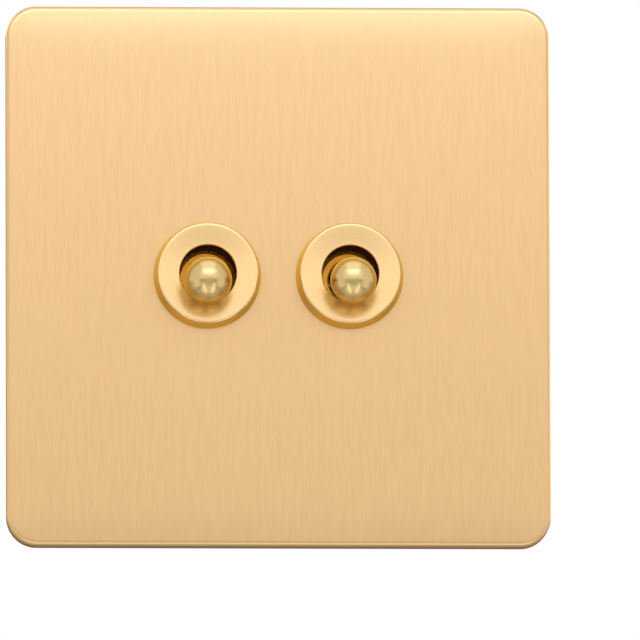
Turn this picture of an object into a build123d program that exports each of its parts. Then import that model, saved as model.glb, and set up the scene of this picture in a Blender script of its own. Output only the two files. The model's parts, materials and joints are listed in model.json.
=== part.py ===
from build123d import *
from math import cos, radians, sin
import os

# Two-gang toggle light switch for a square wall box. The front faces -Y, +Z is up, and the origin
# is the middle of the wall plane. A size that ends in _out is a distance in front of that plane.

# Face plate: a shallow pressed pan whose turned-back rim meets the wall
plate_size = 86.0
plate_corner = 4.8
plate_depth = 4.0
plate_wall = 1.2
plate_edge = 0.7

# Gangs side by side, and the running clearances that fitted pieces share
gang_pitch = 22.5
slip_gap = 0.1
thread_gap = 0.05
pin_gap = 0.06
pin_seat_gap = 0.02

# Bezel rings, each with a threaded spigot through the plate and a round nut behind the liner
ring_diameter = 17.0
ring_front_diameter = 15.9
ring_height = 3.2
ring_edge = 0.3
ring_dish = 0.2
ring_hole = 9.0
ring_hole_edge = 0.15
ring_lip = 0.8
ring_bore = 10.4
spigot_diameter = 12.0
spigot_proud = 0.2
bezel_nut_diameter = 16.0
bezel_nut_height = 2.0
bezel_nut_slot = 1.8
bezel_nut_slot_depth = 1.0
bezel_nut_slots = 4

# Moulded liner behind the plate, with a rim and four snap legs
liner_wall = 1.4
liner_gap = 0.2
liner_rim = 1.2
liner_rim_height = 1.0
leg_spread = 68.1
leg_rise = 40.0
leg_width = 5.0
leg_wall = 1.3
leg_length = 3.6
leg_root = 0.7
hook_reach = 0.8
hook_gap = 0.15
window_gap = 0.25

# Pressed steel yoke: flat flange, dished middle, slots for the wall box's screws, earth tab
yoke_width = 76.0
yoke_height = 60.0
yoke_corner = 4.0
yoke_wall = 1.2
dish_width = 47.0
dish_height = 39.0
dish_corner = 6.0
dish_depth = 5.0
dish_draft = 10.0
dish_bend = 0.8
box_screw_pitch = 60.3
box_slot_width = 3.8
box_slot_length = 6.4
tab_width = 8.0
tab_length = 10.0
tab_bend = 1.6
tab_relief_width = 1.2
tab_relief_depth = 2.4

# Earth screw and its saddle on the tab
earth_screw_diameter = 3.5
earth_screw_length = 6.0
earth_head_diameter = 5.8
earth_head_height = 2.2
earth_head_edge = 0.7
screw_point = 0.45
saddle_size = 7.6
saddle_wall = 1.0
saddle_corner = 0.5
saddle_lip = 0.9
drive_slot = 0.9
drive_slot_depth = 0.9

# Brass bush: threaded neck through the yoke, collar behind the cover that holds the pivot pin
bush_diameter = 9.5
bush_bore = 6.2
bush_chamfer = 0.6
bush_mouth = 0.25
bush_proud = 0.4
collar_gap = 0.3
collar_length = 4.5
washer_thickness = 0.6
washer_body_diameter = 13.0
washer_tooth_reach = 1.1
washer_tooth_root = 1.6
washer_tooth_width = 1.9
washer_teeth = 12
bush_nut_flats = 13.0
bush_nut_height = 2.0
bush_nut_bevel = 0.25
bush_nut_bevel_drop = 0.9

# Toggle lever: ball end, tapered neck, pivot ball and hollow tail
lever_reach = 19.7
lever_ball = 7.3
neck_top_diameter = 3.9
neck_foot_diameter = 4.4
neck_fillet = 0.6
pivot_setback = 6.7
pivot_ball = 5.6
pivot_pin_diameter = 2.0
pin_short = 0.4
pin_point = 0.2
tail_diameter = 4.2
tail_length = 9.5
tail_bore_start = 3.0
lever_throw = 10.6
lever_lean = 0.6

# Plunger and spring in the lever's tail
plunger_diameter = 2.6
plunger_reach = 11.0
plunger_length = 4.4
spring_wire = 0.4
spring_turns = 5
spring_gap = 0.05

# Rocker: see-saw contact strip on a cross pin, with a riveted contact at each end
rocker_throw = 14.0
rocker_length = 17.0
rocker_width = 6.0
rocker_tip_width = 4.4
rocker_wall = 0.9
rocker_rise = 1.4
rocker_pin_diameter = 1.5
plunger_gap = 0.15
contact_arm = 7.0
contact_diameter = 2.6
contact_drop = 0.4
contact_crown = 0.3
contact_gap = 0.08
rivet_diameter = 1.6
rivet_head_diameter = 2.4
rivet_head_height = 0.4
fixed_contact_diameter = 3.0
fixed_contact_height = 0.9

# Common bracket: U of brass strip that carries the rocker's pin
bracket_wall = 0.8
bracket_width = 4.4
bracket_gap = 0.2
bracket_stud_diameter = 3.0

# Folded steel cover and moulded base of each gang
module_width = 17.0
module_height = 29.0
module_corner = 1.0
cover_wall = 0.8
cover_gap = 0.05
cover_leg_width = 10.0
cover_leg_length = 13.1
cover_bend = 0.9
cover_tab = 0.7
tab_slot_gap = 0.15
base_side_wall = 1.7
base_end_wall = 1.8
base_floor = 1.2
base_back_edge = 0.5

# Terminal blocks in wells at the back of the base, wired from the outer side
terminal_pitch = 9.2
terminal_height = 6.6
terminal_length = 9.0
terminal_edge = 0.35
terminal_skin = 0.5
terminal_thread = 2.6
terminal_seat_gap = 0.05
wire_bore = 3.2
wire_entry = 4.4
wire_entry_flare = 0.5
entry_wall = 1.5
well_gap = 0.1
well_lip = 0.4
barrier_height = 1.0
barrier_wall = 1.0
core_wall = 1.2
core_corner = 0.9
core_depth = 5.0
terminal_screw_diameter = 3.5
terminal_head_diameter = 5.6
terminal_head_height = 1.6
terminal_head_edge = 0.4
terminal_head_lift = 0.3
tip_gap = 0.1

# Places that follow from the sizes above
gangs = {"left": -1, "right": 1}
plate_back_out = plate_depth - plate_wall
liner_back_out = plate_back_out - liner_wall
ring_front_out = plate_depth + ring_height
spigot_end_out = liner_back_out - bezel_nut_height - spigot_proud
dish_front_out = yoke_wall - dish_depth
nut_back_out = dish_front_out + washer_thickness
bush_front_out = nut_back_out + bush_nut_height + bush_proud
cover_front_out = -dish_depth
base_front_out = cover_front_out - cover_wall
pivot_out = bush_front_out - pivot_setback
chamber_width = module_width - 2 * base_side_wall
collar_diameter = chamber_width - 2 * collar_gap
saddle_width = earth_head_diameter + 2 * (slip_gap + saddle_wall)
rest_tilt = lever_throw / 2
rocker_tilt = rocker_throw / 2
rocker_out = pivot_out - plunger_reach - plunger_gap - rocker_rise
crown_radius = ((contact_diameter / 2) ** 2 + contact_crown**2) / (2 * contact_crown)
closed_drop = (
    contact_arm * sin(radians(rocker_tilt))
    + crown_radius
    - (crown_radius - contact_drop) * cos(radians(rocker_tilt))
)
fixed_face_out = rocker_out - closed_drop - contact_gap
floor_out = fixed_face_out - fixed_contact_height
well_front_out = floor_out - base_floor
block_front_out = well_front_out - terminal_seat_gap
wire_out = block_front_out - terminal_skin - wire_bore / 2
screw_tip_out = wire_out - wire_bore / 2 - tip_gap
block_back_out = screw_tip_out - terminal_thread
base_back_out = block_back_out - well_lip
terminal_rows = {"upper": 1, "common": 0, "lower": -1}

os.makedirs("parts", exist_ok=True)


def save(piece, node):
    """Label a finished piece and write it as its own file."""
    piece.part.label = node
    export_step(piece.part, f"parts/{node}.step")


def front_plane(out, x=0.0, z=0.0):
    """A plane that faces the front, so many millimetres in front of the wall."""
    return Plane(origin=(x, -out, z), x_dir=(1, 0, 0), z_dir=(0, -1, 0))


def side_plane(x):
    """A plane across the switch that looks along +X, with its own x upwards and y to the front."""
    return Plane(origin=(x, 0, 0), x_dir=(0, 0, 1), z_dir=(1, 0, 0))


def turning_plane(origin, along):
    """A plane for a turned profile: x is the radius, y runs from the origin along the axis."""
    axis = Vector(*along).normalized()
    across = (Vector(1, 0, 0) - axis * axis.X).normalized()
    return Plane(origin=origin, x_dir=across, z_dir=across.cross(axis))


def gang_x(side):
    """Middle of a gang, left or right of the plate's middle."""
    return side * gang_pitch / 2


def gang_axis(side):
    """The straight axis through a gang's ring and bush, from the wall to the front."""
    return (gang_x(side), 0, 0), (0, -1, 0)


def lever_axis(side):
    """Pivot point and direction of a lever at rest: thrown down, and leaning slightly outwards."""
    lean = side * lever_lean
    flat = cos(radians(rest_tilt))
    along = (
        flat * sin(radians(lean)),
        -flat * cos(radians(lean)),
        -sin(radians(rest_tilt)),
    )
    return (gang_x(side), -pivot_out, 0), along


def rocker_side_plane(side):
    """Side view of a rocker at rest, its upper end pressed back: x along it, y to the front."""
    tilt = radians(rocker_tilt)
    return Plane(
        origin=(gang_x(side), -rocker_out, 0),
        x_dir=(0, sin(tilt), cos(tilt)),
        z_dir=(1, 0, 0),
    )


def rocker_front_plane(side):
    """Front view of the same rocker: x across it, y along it."""
    tilt = radians(rocker_tilt)
    return Plane(
        origin=(gang_x(side), -rocker_out, 0),
        x_dir=(1, 0, 0),
        z_dir=(0, -cos(tilt), sin(tilt)),
    )


def terminal_x(side):
    """Middle of a gang's terminal blocks, set towards the side that the wires come in from."""
    reach = module_width / 2 - entry_wall - well_gap - terminal_length / 2
    return gang_x(side) + side * reach


def terminal_places(side):
    """Middle of each terminal block, seen from the front."""
    return [(terminal_x(side), row * terminal_pitch) for row in terminal_rows.values()]


def build_face_plate():
    """Brass cover: flat face, rounded corners and edge, rim turned back to the wall."""
    inside = plate_size - 2 * plate_wall
    with BuildPart() as plate:
        with BuildSketch(front_plane(0)):
            RectangleRounded(plate_size, plate_size, plate_corner)
        extrude(amount=plate_depth)
        fillet(plate.faces().sort_by(Axis.Y)[0].edges(), plate_edge)
        with BuildSketch(front_plane(0)):
            RectangleRounded(inside, inside, plate_corner - plate_wall)
        extrude(amount=plate_back_out, mode=Mode.SUBTRACT)
        with BuildSketch(front_plane(plate_depth)):
            with GridLocations(gang_pitch, 1, len(gangs), 1):
                Circle(spigot_diameter / 2 + slip_gap)
        extrude(amount=-plate_wall, mode=Mode.SUBTRACT)
    save(plate, "face_plate")


def build_bezel_ring(name, side):
    """Turned ring: tapered side, rounded edge, dished face, thin lip round the hole, bore, spigot."""
    origin, along = gang_axis(side)
    lip_out = ring_front_out - ring_lip
    with BuildPart() as ring:
        with BuildSketch(turning_plane(origin, along)):
            with BuildLine():
                Polyline(
                    (ring_hole / 2, lip_out),
                    (ring_hole / 2, ring_front_out - ring_dish),
                    (ring_front_diameter / 2, ring_front_out),
                    (ring_diameter / 2, plate_depth),
                    (spigot_diameter / 2, plate_depth),
                    (spigot_diameter / 2, spigot_end_out),
                    (ring_bore / 2, spigot_end_out),
                    (ring_bore / 2, lip_out),
                    close=True,
                )
            make_face()
        revolve(axis=Axis(origin, along))
        rims = ring.edges().filter_by(GeomType.CIRCLE).sort_by(Axis.Y)
        fillet(rims[0], ring_edge)
        fillet(rims[1], ring_hole_edge)
    save(ring, f"{name}_bezel_ring")


def build_bezel_nut(name, side):
    """Round nut behind the liner, with spanner slots across its back face."""
    with BuildPart() as nut:
        with BuildSketch(front_plane(liner_back_out, gang_x(side))):
            Circle(bezel_nut_diameter / 2)
            Circle(spigot_diameter / 2 + thread_gap, mode=Mode.SUBTRACT)
        extrude(amount=-bezel_nut_height)
        with BuildSketch(front_plane(liner_back_out - bezel_nut_height, gang_x(side))):
            with PolarLocations(bezel_nut_diameter / 2, bezel_nut_slots):
                Rectangle(bezel_nut_diameter - spigot_diameter, bezel_nut_slot)
        extrude(amount=bezel_nut_slot_depth, mode=Mode.SUBTRACT)
    save(nut, f"{name}_bezel_nut")


def build_plate_liner():
    """Moulded sheet behind the plate, with a rim round its back and four hooked snap legs."""
    outside = plate_size - 2 * plate_wall - 2 * liner_gap
    corner = plate_corner - plate_wall - liner_gap
    leg_inner = leg_spread / 2 - leg_wall / 2
    leg_outer = leg_spread / 2 + leg_wall / 2
    catch_out = -hook_gap
    with BuildPart() as liner:
        with BuildSketch(front_plane(liner_back_out - liner_rim_height)):
            RectangleRounded(outside, outside, corner)
        extrude(amount=liner_wall + liner_rim_height)
        with BuildSketch(front_plane(liner_back_out - liner_rim_height)):
            RectangleRounded(outside - 2 * liner_rim, outside - 2 * liner_rim, corner - liner_rim)
        extrude(amount=liner_rim_height, mode=Mode.SUBTRACT)
        with BuildSketch(front_plane(plate_back_out)):
            with GridLocations(gang_pitch, 1, len(gangs), 1):
                Circle(spigot_diameter / 2 + slip_gap)
        extrude(amount=-liner_wall, mode=Mode.SUBTRACT)
        for side in gangs.values():
            for level in (-leg_rise / 2, leg_rise / 2):
                with BuildSketch(Plane(origin=(0, 0, level), x_dir=(side, 0, 0), z_dir=(0, 0, -side))):
                    with BuildLine():
                        Polyline(
                            (leg_inner, liner_back_out + leg_root),
                            (leg_outer, liner_back_out + leg_root),
                            (leg_outer, catch_out),
                            (leg_outer + hook_reach, catch_out),
                            (leg_outer, catch_out - leg_length),
                            (leg_inner, catch_out - leg_length),
                            close=True,
                        )
                    make_face()
                extrude(amount=leg_width / 2, both=True)
    save(liner, "plate_liner")


def build_mounting_yoke():
    """Pressed steel yoke: flange on the wall box, tapered dish for the switches, folded earth tab."""
    window_inner = leg_spread / 2 - leg_wall / 2 - window_gap
    window_outer = leg_spread / 2 + leg_wall / 2 + window_gap
    tab_out = yoke_wall - tab_length
    with BuildPart() as yoke:
        with BuildSketch(front_plane(0)):
            RectangleRounded(yoke_width, yoke_height, yoke_corner)
            with GridLocations(box_screw_pitch, 1, 2, 1):
                SlotOverall(box_slot_length, box_slot_width, mode=Mode.SUBTRACT)
            with GridLocations(window_inner + window_outer, leg_rise, 2, 2):
                Rectangle(
                    window_outer - window_inner,
                    leg_width + 2 * window_gap,
                    mode=Mode.SUBTRACT,
                )
            with Locations((0, -yoke_height / 2)):
                with GridLocations(tab_width + tab_relief_width, 1, 2, 1):
                    Rectangle(tab_relief_width, 2 * tab_relief_depth, mode=Mode.SUBTRACT)
        extrude(amount=yoke_wall)
        with BuildSketch(front_plane(0)):
            RectangleRounded(dish_width, dish_height, dish_corner)
        extrude(amount=-dish_depth, taper=dish_draft)
        back_rim = yoke.faces().sort_by(Axis.Y)[-1].edges()
        fillet(back_rim, dish_bend + yoke_wall)
        with BuildSketch(front_plane(yoke_wall)):
            RectangleRounded(
                dish_width - 2 * yoke_wall,
                dish_height - 2 * yoke_wall,
                dish_corner - yoke_wall,
            )
        extrude(amount=-dish_depth, taper=dish_draft, mode=Mode.SUBTRACT)
        with BuildSketch(front_plane(dish_front_out)):
            with GridLocations(gang_pitch, 1, len(gangs), 1):
                Circle(bush_diameter / 2 + slip_gap)
        extrude(amount=-yoke_wall, mode=Mode.SUBTRACT)
        with BuildSketch(side_plane(0)):
            with Locations((-yoke_height / 2, yoke_wall)):
                Rectangle(yoke_wall, tab_length, align=(Align.MIN, Align.MAX))
        extrude(amount=tab_width / 2, both=True)
        bend = yoke.edges().filter_by(Axis.X).group_by(Axis.Z)[0].sort_by(Axis.Y)[0]
        fillet(bend, tab_bend)
        with BuildSketch(Plane.XY.offset(-yoke_height / 2)):
            with Locations((0, -(tab_out + saddle_size / 2))):
                Circle(earth_screw_diameter / 2 + thread_gap)
        extrude(amount=yoke_wall, mode=Mode.SUBTRACT)
    save(yoke, "mounting_yoke")


def earth_plane(drop):
    """A plane that faces down at the earth screw, so far below the tab's outer face."""
    screw_y = -(yoke_wall - tab_length + saddle_size / 2)
    return Plane(origin=(0, screw_y, -yoke_height / 2 - drop), x_dir=(1, 0, 0), z_dir=(0, 0, -1))


def build_earth_clamp():
    """Square saddle washer with two turned-up lips that keep the wire under the screw."""
    with BuildPart() as saddle:
        with BuildSketch(earth_plane(0)):
            RectangleRounded(saddle_width, saddle_size, saddle_corner)
            Circle(earth_screw_diameter / 2 + slip_gap, mode=Mode.SUBTRACT)
        extrude(amount=saddle_wall)
        with BuildSketch(earth_plane(saddle_wall)):
            with GridLocations(saddle_width - saddle_wall, 1, 2, 1):
                Rectangle(saddle_wall, saddle_size - 2 * saddle_corner)
        extrude(amount=saddle_lip)
    save(saddle, "earth_clamp")


def build_earth_screw():
    """Slotted pan-head screw through the saddle into the earth tab."""
    with BuildPart() as screw:
        with BuildSketch(earth_plane(saddle_wall)):
            Circle(earth_head_diameter / 2)
        extrude(amount=earth_head_height)
        fillet(screw.edges().group_by(Axis.Z)[0], earth_head_edge)
        with BuildSketch(earth_plane(saddle_wall + earth_head_height)):
            Rectangle(earth_head_diameter, drive_slot)
        extrude(amount=-drive_slot_depth, mode=Mode.SUBTRACT)
        with BuildSketch(earth_plane(saddle_wall)):
            Circle(earth_screw_diameter / 2)
        extrude(amount=-earth_screw_length)
        chamfer(screw.edges().group_by(Axis.Z)[-1], screw_point)
    save(screw, "earth_screw")


def build_bush(name, side):
    """Turned brass neck: chamfered threaded front, wide collar behind the cover, cross-pin hole."""
    origin, along = gang_axis(side)
    collar_end = base_front_out - collar_length
    with BuildPart() as bush:
        with BuildSketch(turning_plane(origin, along)):
            with BuildLine():
                Polyline(
                    (bush_bore / 2, collar_end),
                    (bush_bore / 2, bush_front_out),
                    (bush_diameter / 2, bush_front_out),
                    (bush_diameter / 2, base_front_out),
                    (collar_diameter / 2, base_front_out),
                    (collar_diameter / 2, collar_end),
                    close=True,
                )
            make_face()
        revolve(axis=Axis(origin, along))
        rims = bush.edges().filter_by(GeomType.CIRCLE).group_by(Axis.Y)[0].sort_by(SortBy.RADIUS)
        chamfer(rims[-1], bush_chamfer)
        chamfer(rims[0], bush_mouth)
        with BuildSketch(side_plane(gang_x(side))):
            with Locations((0, pivot_out)):
                Circle(pivot_pin_diameter / 2 + pin_seat_gap)
        extrude(amount=collar_diameter, both=True, mode=Mode.SUBTRACT)
    save(bush, f"{name}_bush")


def build_lock_washer(name, side):
    """Flat washer with a ring of teeth, between the yoke and the bush nut."""
    tooth_length = washer_tooth_reach + washer_tooth_root
    with BuildPart() as washer:
        with BuildSketch(front_plane(dish_front_out, gang_x(side))):
            Circle(washer_body_diameter / 2)
            reach = washer_body_diameter / 2 + washer_tooth_reach - tooth_length / 2
            with PolarLocations(reach, washer_teeth):
                Rectangle(tooth_length, washer_tooth_width)
            Circle(bush_diameter / 2 + slip_gap, mode=Mode.SUBTRACT)
        extrude(amount=washer_thickness)
    save(washer, f"{name}_lock_washer")


def build_bush_nut(name, side):
    """Thin hexagon nut on the bush, its corners turned off at the front."""
    origin, along = gang_axis(side)
    clear = bush_nut_flats / 2 / cos(radians(30)) + slip_gap
    top = nut_back_out + bush_nut_height
    with BuildPart() as nut:
        with BuildSketch(front_plane(nut_back_out, gang_x(side))):
            RegularPolygon(bush_nut_flats / 2, 6, major_radius=False)
            Circle(bush_diameter / 2 + thread_gap, mode=Mode.SUBTRACT)
        extrude(amount=bush_nut_height)
        with BuildSketch(turning_plane(origin, along)):
            with BuildLine():
                Polyline(
                    (0, nut_back_out),
                    (clear, nut_back_out),
                    (clear, top - bush_nut_bevel_drop),
                    (bush_nut_flats / 2 - bush_nut_bevel, top),
                    (0, top),
                    close=True,
                )
            make_face()
        revolve(axis=Axis(origin, along), mode=Mode.INTERSECT)
    save(nut, f"{name}_bush_nut")


def build_lever(name, side):
    """Turned lever at rest: ball, tapered neck, pivot ball on the cross pin, bored tail."""
    origin, along = lever_axis(side)
    ball, pivot = lever_ball / 2, pivot_ball / 2
    neck_top, neck_foot = neck_top_diameter / 2, neck_foot_diameter / 2
    tail, bore = tail_diameter / 2, plunger_diameter / 2 + slip_gap
    ball_under = lever_reach - (ball**2 - neck_top**2) ** 0.5
    pivot_over = (pivot**2 - neck_foot**2) ** 0.5
    pivot_under = -((pivot**2 - tail**2) ** 0.5)
    with BuildPart() as lever:
        with BuildSketch(turning_plane(origin, along)) as profile:
            with BuildLine():
                ThreePointArc(
                    (0, lever_reach + ball),
                    (ball, lever_reach),
                    (neck_top, ball_under),
                )
                Line((neck_top, ball_under), (neck_foot, pivot_over))
                ThreePointArc((neck_foot, pivot_over), (pivot, 0), (tail, pivot_under))
                Polyline(
                    (tail, pivot_under),
                    (tail, -tail_length),
                    (bore, -tail_length),
                    (bore, -tail_bore_start),
                    (0, -tail_bore_start),
                    (0, lever_reach + ball),
                )
            make_face()
            under_ball = profile.vertices().sort_by_distance((neck_top, ball_under, 0))[0]
            fillet(under_ball, neck_fillet)
        revolve(axis=Axis(origin, along))
        with BuildSketch(side_plane(gang_x(side))):
            with Locations((0, pivot_out)):
                Circle(pivot_pin_diameter / 2 + pin_gap)
        extrude(amount=pivot_ball, both=True, mode=Mode.SUBTRACT)
    save(lever, f"{name}_lever")


def build_pivot_pin(name, side):
    """Cross pin through the bush's collar and the lever's pivot ball."""
    length = collar_diameter - 2 * pin_short
    with BuildPart() as pin:
        with BuildSketch(side_plane(gang_x(side))):
            with Locations((0, pivot_out)):
                Circle(pivot_pin_diameter / 2)
        extrude(amount=length / 2, both=True)
        chamfer(pin.edges().filter_by(GeomType.CIRCLE), pin_point)
    save(pin, f"{name}_pivot_pin")


def build_plunger(name, side):
    """Round-nosed plunger that the spring pushes out of the lever's tail."""
    origin, along = lever_axis(side)
    radius = plunger_diameter / 2
    head = plunger_length - plunger_reach
    with BuildPart() as plunger:
        with BuildSketch(turning_plane(origin, along)):
            with BuildLine():
                Polyline(
                    (0, -plunger_reach),
                    (0, head),
                    (radius, head),
                    (radius, radius - plunger_reach),
                )
                RadiusArc((radius, radius - plunger_reach), (0, -plunger_reach), radius)
            make_face()
        revolve(axis=Axis(origin, along))
    save(plunger, f"{name}_plunger")


def build_spring(name, side):
    """Coil spring in the lever's bore, between its end and the plunger."""
    origin, along = lever_axis(side)
    axis = Vector(*along)
    seat = plunger_reach - plunger_length
    height = seat - tail_bore_start - spring_wire - 2 * spring_gap
    start = Vector(*origin) - axis * (seat - spring_wire / 2 - spring_gap)
    coil_radius = plunger_diameter / 2 + slip_gap - spring_gap - spring_wire / 2
    with BuildPart() as spring:
        with BuildLine() as coil:
            Helix(height / spring_turns, height, coil_radius, center=start, direction=along)
        with BuildSketch(Plane(coil.line @ 0, z_dir=coil.line % 0)):
            Circle(spring_wire / 2)
        sweep(path=coil.line, is_frenet=True)
    save(spring, f"{name}_spring")


def build_rocker(name, side):
    """See-saw contact strip with a knuckle round its pin, narrowing to a contact at each end."""
    half = rocker_length / 2
    with BuildPart() as rocker:
        with BuildSketch(rocker_side_plane(side)):
            with Locations((0, rocker_rise - rocker_wall / 2)):
                Rectangle(rocker_length, rocker_wall)
            Circle(rocker_rise)
            Circle(rocker_pin_diameter / 2 + pin_gap, mode=Mode.SUBTRACT)
        extrude(amount=rocker_width / 2, both=True)
        with BuildSketch(rocker_front_plane(side)):
            with BuildLine():
                Polyline(
                    (rocker_width / 2, -bracket_width / 2),
                    (rocker_width / 2, bracket_width / 2),
                    (rocker_tip_width / 2, half),
                    (-rocker_tip_width / 2, half),
                    (-rocker_width / 2, bracket_width / 2),
                    (-rocker_width / 2, -bracket_width / 2),
                    (-rocker_tip_width / 2, -half),
                    (rocker_tip_width / 2, -half),
                    close=True,
                )
            make_face()
        extrude(amount=2 * rocker_rise, both=True, mode=Mode.INTERSECT)
        with BuildSketch(rocker_front_plane(side)):
            with GridLocations(1, 2 * contact_arm, 1, 2):
                Circle(rivet_diameter / 2 + pin_seat_gap)
        extrude(amount=2 * rocker_rise, both=True, mode=Mode.SUBTRACT)
    save(rocker, f"{name}_rocker")


def build_moving_contacts(name, side):
    """Two domed contact rivets, one at each end of the rocker."""
    sheet_back = rocker_rise - rocker_wall
    shoulder = contact_crown - contact_drop
    plane = rocker_front_plane(side)
    with BuildPart() as contacts:
        for end in (-contact_arm, contact_arm):
            origin = plane.from_local_coords(Vector(0, end, 0))
            with BuildSketch(turning_plane(origin, plane.z_dir)):
                with BuildLine():
                    Polyline(
                        (0, -contact_drop),
                        (0, rocker_rise + rivet_head_height),
                        (rivet_head_diameter / 2, rocker_rise + rivet_head_height),
                        (rivet_head_diameter / 2, rocker_rise),
                        (rivet_diameter / 2, rocker_rise),
                        (rivet_diameter / 2, sheet_back),
                        (contact_diameter / 2, sheet_back),
                        (contact_diameter / 2, shoulder),
                    )
                    RadiusArc((contact_diameter / 2, shoulder), (0, -contact_drop), crown_radius)
                make_face()
            revolve(axis=Axis(origin, plane.z_dir))
    save(contacts, f"{name}_moving_contacts")


def build_rocker_pin(name, side):
    """Pin that carries the rocker between the bracket's two arms."""
    reach = rocker_width / 2 + bracket_gap + bracket_wall + slip_gap
    with BuildPart() as pin:
        with BuildSketch(side_plane(gang_x(side))):
            with Locations((0, rocker_out)):
                Circle(rocker_pin_diameter / 2)
        extrude(amount=reach, both=True)
    save(pin, f"{name}_rocker_pin")


def build_common_bracket(name, side):
    """U of brass strip on the base's floor: round-topped arms for the pin, stud to its terminal."""
    inner = rocker_width / 2 + bracket_gap
    outer = inner + bracket_wall
    rise = rocker_out - floor_out
    with BuildPart() as bracket:
        with BuildSketch(side_plane(gang_x(side))):
            with Locations((0, floor_out)):
                Rectangle(bracket_width, rise, align=(Align.CENTER, Align.MIN))
            with Locations((0, rocker_out)):
                Circle(bracket_width / 2)
                Circle(rocker_pin_diameter / 2 + pin_seat_gap, mode=Mode.SUBTRACT)
        extrude(amount=outer, both=True)
        with BuildSketch(front_plane(floor_out + bracket_wall, gang_x(side))):
            Rectangle(2 * inner, bracket_width)
        extrude(amount=rise + bracket_width, mode=Mode.SUBTRACT)
        with BuildSketch(front_plane(floor_out, gang_x(side))):
            Circle(bracket_stud_diameter / 2)
        extrude(amount=block_front_out - floor_out)
    save(bracket, f"{name}_common_bracket")


def build_fixed_contacts(name, side):
    """Two flat contact studs through the base's floor, one on each outer terminal."""
    with BuildPart() as contacts:
        with BuildSketch(front_plane(floor_out, gang_x(side))):
            with GridLocations(1, 2 * contact_arm, 1, 2):
                Circle(fixed_contact_diameter / 2)
        extrude(amount=fixed_contact_height)
        with BuildSketch(front_plane(floor_out, gang_x(side))):
            with GridLocations(1, 2 * contact_arm, 1, 2):
                Circle(rivet_diameter / 2)
        extrude(amount=block_front_out - floor_out)
    save(contacts, f"{name}_fixed_contacts")


def build_cover(name, side):
    """Folded steel cover: flat front with the bush's hole, two legs clinched into the base."""
    x = gang_x(side)
    leg_inner = module_width / 2 + cover_gap
    leg_outer = leg_inner + cover_wall
    leg_end = base_front_out - cover_leg_length
    tab_inner = leg_inner - cover_tab
    with BuildPart() as cover:
        with BuildSketch(front_plane(base_front_out, x)):
            RectangleRounded(module_width, module_height, module_corner)
        extrude(amount=cover_wall)
        with BuildSketch(Plane(origin=(x, 0, 0), x_dir=(1, 0, 0), z_dir=(0, 0, -1))):
            with BuildLine():
                Polyline(
                    (0, cover_front_out),
                    (leg_outer, cover_front_out),
                    (leg_outer, leg_end),
                    (tab_inner, leg_end),
                    (tab_inner, leg_end + cover_wall),
                    (leg_inner, leg_end + cover_wall),
                    (leg_inner, base_front_out),
                    (0, base_front_out),
                    close=True,
                )
            make_face()
            mirror(about=Plane.YZ)
        extrude(amount=cover_leg_width / 2, both=True)
        folds = [
            edge
            for edge in cover.edges().filter_by(Axis.Z)
            if abs(abs(edge.center().X - x) - leg_outer) < cover_gap
        ]
        fillet(folds, cover_bend)
        with BuildSketch(front_plane(base_front_out, x)):
            Circle(bush_diameter / 2 + slip_gap)
        extrude(amount=cover_wall, mode=Mode.SUBTRACT)
    save(cover, f"{name}_cover")


def build_base(name, side):
    """Moulded base: contact chamber at the front, three terminal wells and cored back behind."""
    x = gang_x(side)
    depth = base_front_out - base_back_out
    chamber_height = module_height - 2 * base_end_wall
    leg_end = base_front_out - cover_leg_length
    slot_height = cover_wall + 2 * tab_slot_gap
    slot_depth = cover_tab - cover_gap + tab_slot_gap
    well_length = terminal_length + 2 * well_gap
    well_height = terminal_height + 2 * well_gap
    core_width = module_width - entry_wall - well_length - 2 * core_wall
    core_x = x - side * (module_width / 2 - core_wall - core_width / 2)
    outer_face = x + side * module_width / 2
    wells = terminal_places(side)
    with BuildPart() as base:
        with BuildSketch(front_plane(base_back_out, x)):
            RectangleRounded(module_width, module_height, module_corner)
        extrude(amount=depth)
        chamfer(base.faces().sort_by(Axis.Y)[-1].edges(), base_back_edge)
        with BuildSketch(front_plane(base_front_out, x)):
            RectangleRounded(chamber_width, chamber_height, module_corner)
        extrude(amount=floor_out - base_front_out, mode=Mode.SUBTRACT)
        with BuildSketch(front_plane(base_back_out)):
            with Locations(*[(terminal_x(side), row * terminal_pitch / 2) for row in (-1, 1)]):
                Rectangle(well_length, barrier_wall)
        extrude(amount=-barrier_height)
        with BuildSketch(front_plane(base_back_out)):
            with Locations(*wells):
                Rectangle(well_length, well_height)
        extrude(amount=well_front_out - base_back_out, mode=Mode.SUBTRACT)
        with BuildSketch(front_plane(base_back_out)):
            with Locations(*[(core_x, z) for _, z in wells]):
                RectangleRounded(core_width, well_height, core_corner)
        extrude(amount=core_depth, mode=Mode.SUBTRACT)
        with BuildSketch(side_plane(outer_face)):
            with Locations(*[(z, wire_out) for _, z in wells]):
                Circle(wire_entry / 2)
        extrude(amount=-side * entry_wall, mode=Mode.SUBTRACT)
        entries = base.edges().filter_by(GeomType.CIRCLE).group_by(Axis.X)
        chamfer(entries[-1] if side > 0 else entries[0], wire_entry_flare)
        with BuildSketch(front_plane(floor_out, x)):
            with GridLocations(1, 2 * contact_arm, 1, 2):
                Circle(rivet_diameter / 2 + slip_gap)
            Circle(bracket_stud_diameter / 2 + slip_gap)
        extrude(amount=-base_floor, mode=Mode.SUBTRACT)
        for face in (-1, 1):
            with BuildSketch(side_plane(x + face * module_width / 2)):
                with Locations((0, leg_end + cover_wall / 2)):
                    Rectangle(cover_leg_width + 2 * tab_slot_gap, slot_height)
            extrude(amount=-face * slot_depth, mode=Mode.SUBTRACT)
    save(base, f"{name}_base")


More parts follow.
